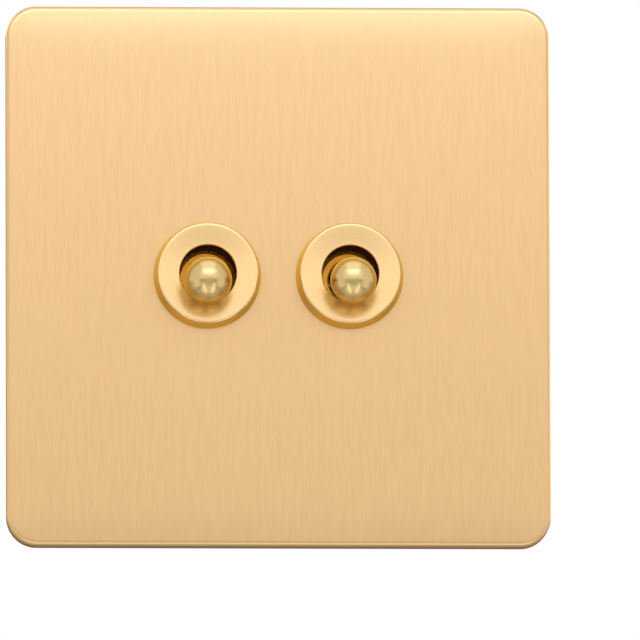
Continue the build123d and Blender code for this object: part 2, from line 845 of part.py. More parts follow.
def build_terminal(name, side, row_name):
    """Brass clamp block: wire bore through it from the outer side, tapped hole from the back."""
    z = terminal_rows[row_name] * terminal_pitch
    middle = terminal_x(side)
    with BuildPart() as block:
        with BuildSketch(front_plane(block_back_out, middle, z)):
            RectangleRounded(terminal_length, terminal_height, terminal_edge)
        extrude(amount=block_front_out - block_back_out)
        with BuildSketch(side_plane(middle)):
            with Locations((z, wire_out)):
                Circle(wire_bore / 2)
        extrude(amount=terminal_length, both=True, mode=Mode.SUBTRACT)
        with BuildSketch(front_plane(block_back_out, middle, z)):
            Circle(terminal_screw_diameter / 2 + thread_gap)
        extrude(amount=wire_out - block_back_out, mode=Mode.SUBTRACT)
    save(block, f"{name}_{row_name}_terminal")


def build_terminal_screws(name, side):
    """Three slotted clamp screws, backed off so that the wire bores are clear."""
    under_head = block_back_out - terminal_head_lift
    with BuildPart() as screws:
        with BuildSketch(front_plane(under_head)):
            with Locations(*terminal_places(side)):
                Circle(terminal_head_diameter / 2)
        extrude(amount=-terminal_head_height)
        fillet(screws.edges().group_by(Axis.Y)[-1], terminal_head_edge)
        with BuildSketch(front_plane(under_head - terminal_head_height)):
            with Locations(*terminal_places(side)):
                Rectangle(terminal_head_diameter, drive_slot)
        extrude(amount=drive_slot_depth, mode=Mode.SUBTRACT)
        with BuildSketch(front_plane(under_head)):
            with Locations(*terminal_places(side)):
                Circle(terminal_screw_diameter / 2)
        extrude(amount=screw_tip_out - under_head)
    save(screws, f"{name}_terminal_screws")


build_face_plate()
build_plate_liner()
build_mounting_yoke()
build_earth_clamp()
build_earth_screw()
gang_pieces = (
    build_bezel_ring,
    build_bezel_nut,
    build_bush,
    build_lock_washer,
    build_bush_nut,
    build_lever,
    build_pivot_pin,
    build_plunger,
    build_spring,
    build_rocker,
    build_moving_contacts,
    build_rocker_pin,
    build_common_bracket,
    build_fixed_contacts,
    build_cover,
    build_base,
    build_terminal_screws,
)
for gang_name, gang_side in gangs.items():
    for build_piece in gang_pieces:
        build_piece(gang_name, gang_side)
    for row in terminal_rows:
        build_terminal(gang_name, gang_side, row)
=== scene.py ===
import json
from math import radians, tau

import bmesh
import bpy
import numpy as np
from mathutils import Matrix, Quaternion, Vector


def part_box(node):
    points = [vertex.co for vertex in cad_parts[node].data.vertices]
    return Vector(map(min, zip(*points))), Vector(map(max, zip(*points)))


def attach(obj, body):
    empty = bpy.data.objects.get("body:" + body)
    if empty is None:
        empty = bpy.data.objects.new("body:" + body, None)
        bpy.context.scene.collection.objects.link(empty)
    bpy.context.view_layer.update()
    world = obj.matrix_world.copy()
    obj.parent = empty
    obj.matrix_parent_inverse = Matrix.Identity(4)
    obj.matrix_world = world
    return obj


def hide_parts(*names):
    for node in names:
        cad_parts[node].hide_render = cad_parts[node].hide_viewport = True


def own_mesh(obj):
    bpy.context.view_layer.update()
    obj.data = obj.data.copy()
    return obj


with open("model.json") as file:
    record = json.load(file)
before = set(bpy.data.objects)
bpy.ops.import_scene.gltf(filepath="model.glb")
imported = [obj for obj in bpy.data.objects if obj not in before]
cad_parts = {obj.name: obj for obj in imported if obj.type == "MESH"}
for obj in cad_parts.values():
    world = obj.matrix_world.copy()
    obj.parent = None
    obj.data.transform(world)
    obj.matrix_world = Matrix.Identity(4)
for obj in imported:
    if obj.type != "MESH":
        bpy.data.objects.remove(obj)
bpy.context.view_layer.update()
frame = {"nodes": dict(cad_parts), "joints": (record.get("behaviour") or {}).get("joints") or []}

bl_info = {
    "name": "Toggle light switch",
    "version": (1, 0, 0),
    "blender": (4, 5, 0),
    "location": "View3D > Sidebar > Switch",
    "description": "Brushed plate, turned rings and levers, and finishes for a toggle light switch",
    "category": "Object",
}

# The front faces -Y and +Z is up. A distance that ends in _out is in front of the wall plane.
plate_low, plate_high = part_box("face_plate")
ring_low, ring_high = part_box("right_bezel_ring")
plate_out, ring_out = -plate_low.y, -ring_low.y
ring_middle = (ring_low.x + ring_high.x) / 2
ring_radius = (ring_high.x - ring_low.x) / 2
joint_places = {joint["name"]: joint for joint in frame["joints"]}
gangs = {"left": -1, "right": 1}


def length(name, default, description):
    """A size in metres, shown with its unit."""
    return bpy.props.FloatProperty(
        name=name, description=description, default=default, min=0.0, precision=6, unit="LENGTH"
    )


def angle(name, default, description):
    """An angle in degrees, shown as one."""
    return bpy.props.FloatProperty(
        name=name, description=description, default=radians(default), subtype="ANGLE"
    )


def amount(name, default, description):
    """A plain number from nought upwards."""
    return bpy.props.FloatProperty(name=name, description=description, default=default, min=0.0)


def colour(name, default, description):
    """A finish's base colour."""
    return bpy.props.FloatVectorProperty(
        name=name, description=description, default=default, min=0.0, max=1.0, subtype="COLOR"
    )


class PlateSizes(bpy.types.PropertyGroup):
    """Sizes of the brushed face plate."""

    corner: length("Corner", 0.0048, "Radius of the plate's corners")
    edge: length("Edge", 0.0007, "Radius of the rounded front edge")
    wall: length("Wall", 0.0012, "Thickness of the sheet")
    hole: length("Hole", 0.0061, "Radius of the holes that the rings' spigots go through")
    rim: length("Rim rounding", 0.0002, "Rounding of the rim that meets the wall")
    crown: length("Crown", 0.00016, "How far the face falls away towards its edges")
    crown_band: length("Crown band", 0.0065, "Width of the band in which the face falls away")


class RingSizes(bpy.types.PropertyGroup):
    """Sizes of the turned bezel rings."""

    hole: length("Hole", 0.0045, "Radius of the hole in the lip")
    hole_edge: length("Hole edge", 0.00015, "Rounding of the hole's front edge")
    lip: length("Lip", 0.0008, "Thickness of the lip")
    bore: length("Bore", 0.0052, "Radius of the threaded bore")
    face: length("Face", 0.00795, "Radius of the front face, where the tapered side starts")
    edge: length("Edge", 0.0003, "Rounding of the front edge")
    dish: length("Dish", 0.0002, "How far the face falls from its edge to the hole")
    spigot: length("Spigot", 0.006, "Radius of the threaded spigot")
    pitch: length("Thread pitch", 0.00075, "Pitch of both threads")
    thread: length("Thread depth", 0.00022, "Depth of both threads")


class LeverSizes(bpy.types.PropertyGroup):
    """Sizes of the toggle levers, measured from the pivot along the lever."""

    reach: length("Reach", 0.0197, "From the pivot to the middle of the ball")
    ball: length("Ball", 0.00365, "Radius of the ball end")
    neck_top: length("Neck top", 0.00195, "Radius of the neck under the ball")
    neck_foot: length("Neck foot", 0.0022, "Radius of the neck at the pivot")
    neck_fillet: length("Neck fillet", 0.0006, "Fillet between ball and neck")
    pivot: length("Pivot ball", 0.0028, "Radius of the pivot ball")
    pin_hole: length("Pin hole", 0.00106, "Radius of the hole for the pivot pin")
    root: length("Root", 0.0013, "Where neck and tail end inside the pivot ball")
    tail: length("Tail", 0.0021, "Radius of the tail")
    tail_end: length("Tail end", 0.0095, "From the pivot to the tail's end")
    bore: length("Tail bore", 0.0014, "Radius of the tail's bore")
    bore_start: length("Bore start", 0.003, "From the pivot to the end of the bore")


class SpringSizes(bpy.types.PropertyGroup):
    """Sizes of the springs in the levers' tails."""

    wire: length("Wire", 0.0002, "Radius of the spring's wire")
    coil: length("Coil", 0.00115, "Radius of the coil at the middle of the wire")
    seat: length("Seat", 0.0066, "From the pivot to the plunger's head")
    gap: length("Gap", 0.00005, "Clearance at each end")
    turns: amount("Turns", 6.0, "Turns of the coil, with one closed turn at each end")


class Finishes(bpy.types.PropertyGroup):
    """Base colours of the materials."""

    plate: colour("Plate", (0.73, 0.478, 0.231), "Brushed brass of the plate")
    ring: colour("Ring", (0.84, 0.57, 0.27), "Turned brass of the rings")
    lever: colour("Lever", (0.65, 0.47, 0.20), "Turned brass of the levers")
    bush: colour("Bush", (0.98, 0.56, 0.1), "Dull brass of the bushes")
    terminal: colour("Terminal", (0.75, 0.55, 0.27), "Machined brass of terminals and nuts")
    zinc: colour("Zinc", (0.62, 0.63, 0.65), "Plated steel of the yoke")
    cover: colour("Cover", (0.58, 0.58, 0.58), "Plated steel of the covers")
    screw: colour("Screw", (0.66, 0.60, 0.44), "Yellow passivated steel of the screws")
    # Painted shade: the nuts and washers are blackened steel, and their near-black also stands in for
    # the shade deep in the hole
    dark: colour("Dark", (0.035, 0.018, 0.012), "Blackened steel of bush nuts and washers")
    pin: colour("Pin", (0.55, 0.56, 0.57), "Bright steel of pins and springs")
    copper: colour("Copper", (0.72, 0.38, 0.22), "Rolled copper alloy of the rockers")
    silver: colour("Silver", (0.86, 0.85, 0.82), "Silver alloy of the contacts")
    liner: colour("Liner", (0.02, 0.02, 0.022), "Black moulding behind the plate")
    base: colour("Base", (0.74, 0.71, 0.63), "Ivory moulding of the bases")
    nylon: colour("Nylon", (0.82, 0.81, 0.76), "Natural nylon of the plungers")


class StageSettings(bpy.types.PropertyGroup):
    """Camera and floor."""

    azimuth: angle("Azimuth", -2.8, "Camera to the right of straight ahead")
    elevation: angle("Elevation", -8.0, "Camera above straight ahead")
    roll: angle("Roll", -0.2, "Turn of the camera about its own axis")
    distance: length("Distance", 3.5, "From the camera to the plate")
    sensor: length("Sensor", 0.036, "Width of the camera's sensor")
    picture: amount("Picture width", 640.0, "Width of the picture in pixels")
    scale: amount("Scale", 6328.0, "Pixels to a metre at the plate")
    middle_x: amount("Middle across", 278.6, "Pixel column of the plate's middle")
    middle_y: amount("Middle down", 275.6, "Pixel row of the plate's middle")
    floor_drop: length("Floor", 3.0, "From the plate's middle down to the floor")


class SwitchSettings(bpy.types.PropertyGroup):
    """All settings of the toggle light switch."""

    plate: bpy.props.PointerProperty(type=PlateSizes)
    ring: bpy.props.PointerProperty(type=RingSizes)
    lever: bpy.props.PointerProperty(type=LeverSizes)
    spring: bpy.props.PointerProperty(type=SpringSizes)
    finish: bpy.props.PointerProperty(type=Finishes)
    stage: bpy.props.PointerProperty(type=StageSettings)


def unit(vector):
    """The same direction with a length of one."""
    vector = np.asarray(vector, float)
    return vector / np.linalg.norm(vector)


def cross_axes(along):
    """Two unit directions square to an axis and to each other."""
    near = 0.9
    axis = unit(along)
    helper = (0.0, 0.0, 1.0) if abs(axis[0]) > near else (1.0, 0.0, 0.0)
    across = unit(helper - axis * np.dot(axis, helper))
    return axis, across, np.cross(across, axis)


def straight(start, end, count):
    """Points in even steps: start + share * (end - start) for shares from nought to one."""
    share = np.linspace(0.0, 1.0, count)[:, None]
    return np.asarray(start) + share * (np.asarray(end) - np.asarray(start))


def arc(centre, radius, start, end, count):
    """Points on a circle: centre + radius * (cosine, sine) for even angles, given in degrees."""
    turn = np.radians(np.linspace(start, end, count))
    return np.asarray(centre) + radius * np.stack([np.cos(turn), np.sin(turn)], 1)


def run_length(points):
    """Length along a row of points, closed back to its start, from nought at the first."""
    steps = np.linalg.norm(np.diff(np.concatenate([points, points[:1]]), axis=0), axis=1)
    return np.concatenate([[0.0], np.cumsum(steps)])


def grid(points, along, wrap_rows=False, wrap_columns=True):
    """Quads over a grid of points: each joins a point, the next in its row, and the two below them.
    The surface map holds the length along the profile as u and the share of a turn as v."""
    rows, columns = points.shape[:2]
    row_starts = np.arange(rows - 1 + wrap_rows)
    column_starts = np.arange(columns - 1 + wrap_columns)
    i, j = (part.ravel() for part in np.meshgrid(row_starts, column_starts, indexing="ij"))
    corner_row = np.stack([i, i, i + 1, i + 1], 1)
    corner_column = np.stack([j, j + 1, j + 1, j], 1)
    faces = corner_row % rows * columns + corner_column % columns
    surface = np.stack([along[corner_row], corner_column / columns], 2)
    return points.reshape(-1, 3), faces, surface


def turned(profile, origin, along, segments, closed=False, thread=0.0):
    """A lathe surface: origin + distance * axis + (radius + thread) * (cos * across + sin * third),
    for each (radius, distance) of the profile and each angle of a full turn."""
    axis, across, third = cross_axes(along)
    angles = np.linspace(0.0, tau, segments, endpoint=False)
    spokes = np.cos(angles)[:, None] * across + np.sin(angles)[:, None] * third
    radius = profile[:, :1] + thread
    points = np.asarray(origin) + profile[:, 1, None, None] * axis
    points = points + np.broadcast_to(radius, (len(profile), segments))[..., None] * spokes
    return grid(points, run_length(profile), wrap_rows=closed)


def thread_form(distance, pitch, segments):
    """A helical vee: how far each point lies from the crest, from nought to one, as a triangle wave
    of distance / pitch less the share of a turn."""
    share = np.linspace(0.0, 1.0, segments, endpoint=False)
    phase = (distance[:, None] / pitch - share) % 1.0
    return 1.0 - np.abs(2.0 * phase - 1.0)


def add_piece(name, grids, body, nodes, material):
    """Join grids into one closed mesh that rides on a body and stands for its CAD nodes."""
    sharp = radians(30.0)
    starts = np.cumsum([0] + [len(part[0]) for part in grids[:-1]])
    points = np.concatenate([part[0] for part in grids])
    faces = np.concatenate([part[1] + start for part, start in zip(grids, starts)])
    surface = np.concatenate([part[2] for part in grids])
    mesh = bpy.data.meshes.new(name)
    mesh.vertices.add(len(points))
    mesh.vertices.foreach_set("co", points.ravel())
    mesh.loops.add(faces.size)
    mesh.loops.foreach_set("vertex_index", faces.ravel())
    mesh.polygons.add(len(faces))
    mesh.polygons.foreach_set("loop_start", np.arange(0, faces.size, 4))
    mesh.update(calc_edges=True)
    mesh.uv_layers.new(name="surface").uv.foreach_set("vector", surface.ravel())
    weld(mesh)
    mesh.polygons.foreach_set("use_smooth", np.ones(len(mesh.polygons), bool))
    mesh.set_sharp_from_angle(angle=sharp)
    mesh.materials.append(material)
    piece = bpy.data.objects.new(name, mesh)
    bpy.context.scene.collection.objects.link(piece)
    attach(piece, body)
    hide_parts(*nodes)
    return piece


def weld(mesh):
    """Merge seams and poles, then point every face outwards."""
    seam = 2e-7
    shell = bmesh.new()
    shell.from_mesh(mesh)
    bmesh.ops.remove_doubles(shell, verts=shell.verts, dist=seam)
    bmesh.ops.recalc_face_normals(shell, faces=shell.faces)
    shell.to_mesh(mesh)
    shell.free()


def half_outline(half, corner):
    """Right half of a rounded square, clockwise from its top middle, with the outward normals."""
    half_count, corner_count, side_count = 16, 15, 30
    inner = half - corner
    top = straight((0.0, half), (inner, half), half_count)[:-1]
    upper = arc((inner, inner), corner, 90.0, 0.0, corner_count)
    side = straight((half, inner), (half, -inner), side_count)[1:-1]
    lower = arc((inner, -inner), corner, 0.0, -90.0, corner_count)
    bottom = straight((inner, -half), (0.0, -half), half_count)[1:]
    points = np.concatenate([top, upper, side, lower, bottom])
    core = np.clip(points, -inner, inner)
    normals = (points - core) / np.linalg.norm(points - core, axis=1, keepdims=True)
    return points, normals


def edge_distance(flat, half, corner):
    """Distance of points of the face from the plate's outline, by the rounded box formula: the corner
    radius less how far a point lies past the square that the corners' centres make."""
    over = np.abs(flat) - (half - corner)
    outside = np.linalg.norm(np.maximum(over, 0.0), axis=-1)
    inside = np.minimum(over.max(axis=-1), 0.0)
    return corner - outside - inside


def plate_grids(sizes):
    """The plate as a pan. Its edge is a profile of (inset, out) carried round the outline, and each
    half of its front and back is ruled from the outline and the middle line to a ring's hole."""
    half = plate_high.x
    back = plate_out - sizes.wall
    edge_count, rim_count, middle_count = 9, 4, 36
    front_rows, rear_rows = 26, 6
    outline, normals = half_outline(half, sizes.corner)

    def face_out(flat):
        """The face's height: it falls by the square of the way into the crown band."""
        share = 1.0 - np.minimum(edge_distance(flat, half, sizes.corner) / sizes.crown_band, 1.0)
        return plate_out - sizes.crown * share**2

    def loop(inset):
        """Outline at an inset, closed by the middle line from bottom to top."""
        rim = outline - inset * normals
        middle = straight(rim[-1], rim[0], middle_count)[1:-1]
        return np.concatenate([rim, middle])

    def ruled(boundary, hub, rows, out):
        """Points from the hole's circle to the boundary, closer together near the boundary: the
        share of the way is one less a power of what is left."""
        crowding = 1.6
        share = 1.0 - (1.0 - np.linspace(0.0, 1.0, rows)[:, None, None]) ** crowding
        flat = hub + share * (boundary - hub)
        return np.stack([flat[..., 0], -out(flat), flat[..., 1]], 2)

    shoulder = float(face_out(np.array([[0.0, half - sizes.edge]]))[0])
    profile = np.concatenate(
        [
            arc((sizes.edge, shoulder - sizes.edge), sizes.edge, 90.0, 180.0, edge_count),
            arc((sizes.rim, sizes.rim), sizes.rim, 180.0, 270.0, rim_count),
            arc((sizes.wall - sizes.rim, sizes.rim), sizes.rim, 270.0, 360.0, rim_count),
            [(sizes.wall, back)],
        ]
    )
    flat = outline - profile[:, 0, None, None] * normals
    out = np.broadcast_to(profile[:, 1, None], flat.shape[:2])
    edge = np.stack([flat[..., 0], -out, flat[..., 1]], 2)
    front_loop, back_loop = loop(sizes.edge), loop(sizes.wall)
    centre = np.array((ring_middle, 0.0))
    spokes = front_loop - centre
    hub = centre + sizes.hole * spokes / np.linalg.norm(spokes, axis=1, keepdims=True)
    front = ruled(front_loop, hub, front_rows, face_out)
    rear = ruled(back_loop, hub, rear_rows, lambda flat: np.full(flat.shape[:-1], back))
    wall = np.stack([front[0], rear[0]])
    parts = [
        grid(edge, run_length(profile), wrap_columns=False),
        grid(front, np.arange(len(front) + 1.0)),
        grid(rear, np.arange(len(rear) + 1.0)),
        grid(wall, np.arange(3.0)),
    ]
    mirrored = [(points * (-1.0, 1.0, 1.0), faces, surface) for points, faces, surface in parts]
    return [(points, faces, flat_map(points[faces])) for points, faces, _ in parts + mirrored]


def flat_map(corners):
    """A map straight through the plate, sheared so that it holds on the sides too: u is x plus a
    share of y, and v is z less a share of y."""
    across_shear, upright_shear = 0.5, 0.3
    x, y, z = corners[..., 0], corners[..., 1], corners[..., 2]
    return np.stack([x + across_shear * y, z - upright_shear * y], -1)


def ring_grids(sizes, side):
    """A ring as a closed profile of (radius, out) turned once: rounded hole, slightly dished face,
    rounded edge and tapered side, then vee threads on spigot and bore."""
    segments, thread_rows = 144, 8
    hole_count, face_count, edge_count = 5, 8, 9
    edge_gap = 0.2
    front, foot, end = ring_out, plate_out, -ring_high.y
    lip = front - sizes.lip
    spigot_count = int((foot - end) / sizes.pitch * thread_rows)
    bore_count = int((lip - end) / sizes.pitch * thread_rows)
    inner = front - sizes.dish
    hole_corner = (sizes.hole + sizes.hole_edge, inner - sizes.hole_edge)
    side_normal = unit((front - foot, ring_radius - sizes.face))
    rim = sizes.face - sizes.edge * (1.0 - side_normal[1]) / side_normal[0]
    taper = np.degrees(np.arctan2(side_normal[1], side_normal[0]))
    face_start, face_end = sizes.hole + 2 * sizes.hole_edge, rim - edge_gap * sizes.edge
    head = np.concatenate(
        [
            [(sizes.hole, lip)],
            arc(hole_corner, sizes.hole_edge, 180.0, 90.0, hole_count),
            straight((face_start, inner), (face_end, front), face_count),
            arc((rim, front - sizes.edge), sizes.edge, 90.0, taper, edge_count),
            [(ring_radius, foot)],
        ]
    )
    spigot = straight((sizes.spigot, foot), (sizes.spigot, end), spigot_count)
    bore = straight((sizes.bore, end), (sizes.bore, lip), bore_count)
    profile = np.concatenate([head, spigot, bore])
    smooth = np.zeros((len(head), segments))
    outside = -sizes.thread * thread_form(spigot[:, 1], sizes.pitch, segments)
    inside = sizes.thread * thread_form(bore[:, 1], sizes.pitch, segments)
    thread = np.concatenate([smooth, outside, inside])
    origin = (side * ring_middle, 0.0, 0.0)
    return [turned(profile, origin, (0.0, -1.0, 0.0), segments, closed=True, thread=thread)]


def lever_line(name):
    """Pivot and direction of a lever: the plunger slides along it towards the ball."""
    pivot = np.array(joint_places[f"{name}_lever_tilt"]["pos_m"], float)
    return pivot, unit(joint_places[f"{name}_plunger_slide"]["axis"])


def lever_grids(sizes, name):
    """A lever as three turned shells: ball and neck, pivot ball round its pin hole, bored tail.
    The fillet's circle touches the ball and the neck."""
    ball_segments, tail_segments = 144, 72
    ball_count, fillet_count, neck_count, zone_count, hole_count = 72, 12, 24, 40, 6
    pivot, along = lever_line(name)
    ball, top, fillet = sizes.ball, sizes.neck_top, sizes.neck_fillet
    hollow = (top + fillet, sizes.reach - ((ball + fillet) ** 2 - (top + fillet) ** 2) ** 0.5)
    touch = np.degrees(np.arctan2(hollow[1] - sizes.reach, hollow[0]))
    grip = np.concatenate(
        [
            arc((0.0, sizes.reach), ball, 90.0, touch, ball_count),
            arc(hollow, fillet, touch + 180.0, 180.0, fillet_count)[1:],
            straight((top, hollow[1]), (sizes.neck_foot, sizes.root), neck_count)[1:],
            [(0.0, sizes.root)],
        ]
    )
    reach = np.degrees(np.arcsin(sizes.pin_hole / sizes.pivot))
    flank = sizes.pivot * np.cos(radians(reach))
    zone = arc((0.0, 0.0), sizes.pivot, 180.0 - reach, reach, zone_count)[:, ::-1]
    hole = straight((sizes.pin_hole, flank), (sizes.pin_hole, -flank), hole_count)[1:-1]
    knuckle = np.concatenate([zone, hole])
    tail = np.array(
        [
            (0.0, -sizes.root),
            (sizes.tail, -sizes.root),
            (sizes.tail, -sizes.tail_end),
            (sizes.bore, -sizes.tail_end),
            (sizes.bore, -sizes.bore_start),
            (0.0, -sizes.bore_start),
        ]
    )
    return [
        turned(grip, pivot, along, ball_segments),
        turned(knuckle, pivot, (1.0, 0.0, 0.0), tail_segments, closed=True),
        turned(tail, pivot, along, tail_segments),
    ]


def spring_grids(sizes, start, pivot, along):
    """A wire tube carried along a helix: the coil's centre line rises with the turn, slowly in the
    closed end turns, and the wire's circle lies square to it. Both ends shrink to a point."""
    turn_count, wire_segments, closed_pitch = 40, 12, 0.25
    axis, across, third = cross_axes(along)
    low, high = start + sizes.gap + sizes.wire, sizes.seat - sizes.gap - sizes.wire
    count = int(sizes.turns * turn_count)
    turn = np.linspace(0.0, sizes.turns, count)
    pitch = np.where((turn < 1.0) | (turn > sizes.turns - 1.0), closed_pitch, 1.0)
    rise = np.concatenate([[0.0], np.cumsum((pitch[1:] + pitch[:-1]) / 2)])
    distance = -(low + (high - low) * rise / rise[-1])
    spoke = np.cos(tau * turn)[:, None] * across + np.sin(tau * turn)[:, None] * third
    centre = pivot + distance[:, None] * axis + sizes.coil * spoke
    wire = np.full(count, sizes.wire)
    wire[[0, -1]] = 0.0
    around = np.linspace(0.0, tau, wire_segments, endpoint=False)
    ring = np.cos(around)[:, None] * spoke[:, None] + np.sin(around)[:, None] * axis
    points = centre[:, None] + wire[:, None, None] * ring
    return [grid(points, run_length(centre))]


def add(tree, kind, settings, inputs):
    """A node with its settings, and each named or numbered input set to a value or linked."""
    node = tree.nodes.new(kind)
    for key, value in settings.items():
        setattr(node, key, value)
    for key, value in inputs.items():
        if isinstance(value, bpy.types.NodeSocket):
            tree.links.new(value, node.inputs[key])
        else:
            node.inputs[key].default_value = value
    return node


def calculate(tree, operation, *values):
    """A Math node's result for the given values or sockets."""
    inputs = dict(enumerate(values))
    return add(tree, "ShaderNodeMath", {"operation": operation}, inputs).outputs[0]


def shared_group(name, inputs, outputs):
    """A shader node group with named sockets, and its two ends. None if it was made before."""
    if name in bpy.data.node_groups:
        return None
    tree = bpy.data.node_groups.new(name, "ShaderNodeTree")
    for label, kind in inputs.items():
        tree.interface.new_socket(name=label, in_out="INPUT", socket_type=kind)
    for label, kind in outputs.items():
        tree.interface.new_socket(name=label, in_out="OUTPUT", socket_type=kind)
    return tree, tree.nodes.new("NodeGroupInput").outputs, tree.nodes.new("NodeGroupOutput").inputs


def use_group(tree, name, inputs):
    """Outputs of a shared group's node, with its inputs set or linked."""
    return add(tree, "ShaderNodeGroup", {"node_tree": bpy.data.node_groups[name]}, inputs).outputs


def make_line_group():
    """Fine lines: noise stretched by a different number of lines to the metre along each axis. The
    tone is half these lines and half the same at a broader scale."""
    broad_scale = 0.23
    made = shared_group(
        "fine_lines",
        {"Vector": "NodeSocketVector", "Lines": "NodeSocketVector"},
        {"Height": "NodeSocketFloat", "Tone": "NodeSocketFloat"},
    )
    if made is None:
        return
    tree, start, end = made
    close = add(
        tree, "ShaderNodeVectorMath", {"operation": "MULTIPLY"}, {0: start["Vector"], 1: start["Lines"]}
    ).outputs[0]
    wide = add(
        tree, "ShaderNodeVectorMath", {"operation": "SCALE"}, {0: close, "Scale": broad_scale}
    ).outputs[0]
    fine = add(tree, "ShaderNodeTexNoise", {}, {"Vector": close, "Scale": 1.0, "Detail": 3.0})
    broad = add(tree, "ShaderNodeTexNoise", {}, {"Vector": wide, "Scale": 1.0, "Detail": 2.0})
    tree.links.new(fine.outputs[0], end["Height"])
    broad_half = calculate(tree, "MULTIPLY", broad.outputs[0], 0.5)
    tone = calculate(tree, "MULTIPLY_ADD", fine.outputs[0], 0.5, broad_half)
    tree.links.new(tone, end["Tone"])


def make_skin_group():
    """A moulded or cast skin: fine noise for its grain, and slow noise for its cloudy tone."""
    made = shared_group(
        "grain_skin",
        {"Vector": "NodeSocketVector", "Grain": "NodeSocketFloat", "Cloud": "NodeSocketFloat"},
        {"Height": "NodeSocketFloat", "Tone": "NodeSocketFloat"},
    )
    if made is None:
        return
    tree, start, end = made
    place = start["Vector"]
    grain = add(
        tree, "ShaderNodeTexNoise", {}, {"Vector": place, "Scale": start["Grain"], "Detail": 2.0}
    )
    cloud = add(
        tree, "ShaderNodeTexNoise", {}, {"Vector": place, "Scale": start["Cloud"], "Detail": 4.0}
    )
    tree.links.new(grain.outputs[0], end["Height"])
    tree.links.new(cloud.outputs[0], end["Tone"])


def make_edge_group():
    """Softened edges: the normal rounded over a radius, and a mask where it leaves the flat one."""
    mask_gain = 6.0
    made = shared_group(
        "soft_edges",
        {"Radius": "NodeSocketFloat"},
        {"Normal": "NodeSocketVector", "Mask": "NodeSocketFloat"},
    )
    if made is None:
        return
    tree, start, end = made
    rounded = add(tree, "ShaderNodeBevel", {"samples": 6}, {"Radius": start["Radius"]}).outputs[0]
    plain = tree.nodes.new("ShaderNodeNewGeometry").outputs["Normal"]
    meeting = add(tree, "ShaderNodeVectorMath", {"operation": "DOT_PRODUCT"}, {0: rounded, 1: plain})
    bend = calculate(tree, "SUBTRACT", 1.0, meeting.outputs["Value"])
    clamped = {"operation": "MULTIPLY", "use_clamp": True}
    mask = add(tree, "ShaderNodeMath", clamped, {0: bend, 1: mask_gain})
    tree.links.new(rounded, end["Normal"])
    tree.links.new(mask.outputs[0], end["Mask"])


def new_material(name, metallic):
    """An empty material: its tree and its Principled shader."""
    material = bpy.data.materials.new(name)
    material.use_nodes = True
    shader = material.node_tree.nodes["Principled BSDF"]
    shader.inputs["Metallic"].default_value = metallic
    return material, material.node_tree, shader


def object_place(tree):
    """Object coordinates, in metres."""
    return tree.nodes.new("ShaderNodeTexCoord").outputs["Object"]


def mix_base(tree, shader, first, second, factor):
    """Base colour that goes from the first to the second colour as the factor goes to one."""
    first_socket, second_socket, result = 6, 7, 2
    inputs = {"Factor": factor, first_socket: first, second_socket: second}
    mixed = add(tree, "ShaderNodeMix", {"data_type": "RGBA"}, inputs).outputs[result]
    tree.links.new(mixed, shader.inputs["Base Color"])
    return mixed


def two_tone(tree, shader, base, share, factor):
    """Base colour between a darker and a lighter share of itself, by a value from nought to one."""
    dark = [channel * (1.0 - share) for channel in base] + [1.0]
    light = [min(channel * (1.0 + share), 1.0) for channel in base] + [1.0]
    return mix_base(tree, shader, dark, light, factor)


def warm_edge(shader, tint):
    """Colour of a metal seen at a low angle, where plain Fresnel would turn it white."""
    shader.inputs["Specular Tint"].default_value = (*tint, 1.0)


def vary_roughness(tree, shader, low, high, factor):
    """Roughness between two values, by noise, which lies mostly in the middle half of its range."""
    noise_low, noise_high = 0.25, 0.75
    limits = {"From Min": noise_low, "From Max": noise_high, "To Min": low, "To Max": high}
    spread = add(tree, "ShaderNodeMapRange", {}, {"Value": factor, **limits})
    tree.links.new(spread.outputs[0], shader.inputs["Roughness"])


def emboss(tree, shader, height, depth, normal=None):
    """A bump of a height in metres, on top of a normal if one is given."""
    inputs = {"Height": height, "Distance": depth, "Strength": 1.0}
    if normal is not None:
        inputs["Normal"] = normal
    bump = add(tree, "ShaderNodeBump", {}, inputs)
    tree.links.new(bump.outputs[0], shader.inputs["Normal"])


def stretch_gloss(tree, shader, share):
    """Gloss stretched along u of the surface map, square to the tool marks."""
    shader.inputs["Anisotropic"].default_value = share
    settings = {"direction_type": "UV_MAP", "uv_map": "surface"}
    tangent = add(tree, "ShaderNodeTangent", settings, {})
    tree.links.new(tangent.outputs[0], shader.inputs["Tangent"])


def brushed_brass(name, base):
    """Satin brass with faint upright brush lines and gloss spread across them. The rim's side is
    painted darker towards the wall: painted shade."""
    brush_lines, line_depth = (9000.0, 9000.0, 700.0), 0.0000012
    # Painted shade: where the rim's side goes from the base colour to a dark share of it
    rim_shade_start, rim_shade_full, rim_shade_share = -0.0026, -0.0014, 0.3
    material, tree, shader = new_material(name, 1.0)
    place = object_place(tree)
    lines = use_group(tree, "fine_lines", {"Vector": place, "Lines": brush_lines})
    shade = two_tone(tree, shader, base, 0.12, lines["Tone"])
    # Painted shade on the rim: darker towards the wall, by the depth in object coordinates
    depth = add(tree, "ShaderNodeSeparateXYZ", {}, {"Vector": place}).outputs["Y"]
    limits = {"Value": depth, "From Min": rim_shade_start, "From Max": rim_shade_full}
    rim_shade = add(tree, "ShaderNodeMapRange", {}, limits).outputs[0]
    mix_base(tree, shader, shade, [rim_shade_share * channel for channel in base] + [1.0], rim_shade)
    vary_roughness(tree, shader, 0.30, 0.36, lines["Tone"])
    emboss(tree, shader, lines["Height"], line_depth)
    stretch_gloss(tree, shader, 0.55)
    warm_edge(shader, (0.45, 0.35, 0.25))
    return material


